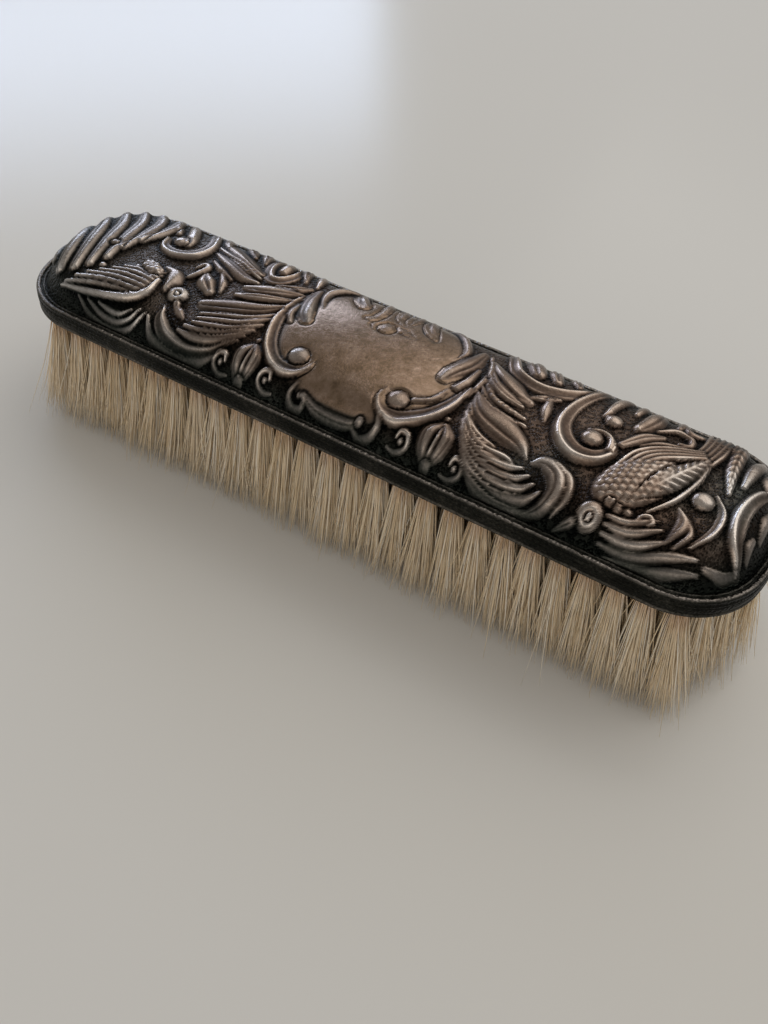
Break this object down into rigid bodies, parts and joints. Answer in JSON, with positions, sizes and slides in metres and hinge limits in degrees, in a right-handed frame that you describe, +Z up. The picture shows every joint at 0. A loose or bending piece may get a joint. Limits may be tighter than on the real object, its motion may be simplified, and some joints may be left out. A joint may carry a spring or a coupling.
{
  "type": "clothes brush",
  "caption": "Long clothes brush with rounded ends, a domed silver back stamped with scrolls, leaves and birds, and rows of pale natural bristle tufts.",
  "frame": {"origin": "centre of the brush's outline, on the plane that the bristle tips stand on", "axes": "+X along the length of the brush, +Y across it, +Z up from the bristle tips to the silver back"},
  "size_m": [0.174, 0.045, 0.04],
  "materials": {
    "silver": "die-stamped silver sheet, worn bright on the high points and tarnished dark in the recesses",
    "filling": "cast pitch composition",
    "back_wood": "plain hardwood",
    "board_wood": "drilled hardwood board, stained warm brown",
    "wire": "soft drawn brass wire",
    "bristle": "bleached natural hair, cream"
  },
  "bodies": {
    "root": {"silver_cover": "silver", "back_filling": "filling", "wooden_back": "back_wood", "bristle_board": "board_wood", "drawing_wire_1": "wire", "drawing_wire_2": "wire", "drawing_wire_3": "wire", "drawing_wire_4": "wire", "drawing_wire_5": "wire", "drawing_wire_6": "wire", "drawing_wire_7": "wire", "tuft_row_1": "bristle", "tuft_row_2": "bristle", "tuft_row_3": "bristle", "tuft_row_4": "bristle", "tuft_row_5": "bristle", "tuft_row_6": "bristle", "tuft_row_7": "bristle"}
  },
  "joints": []
}
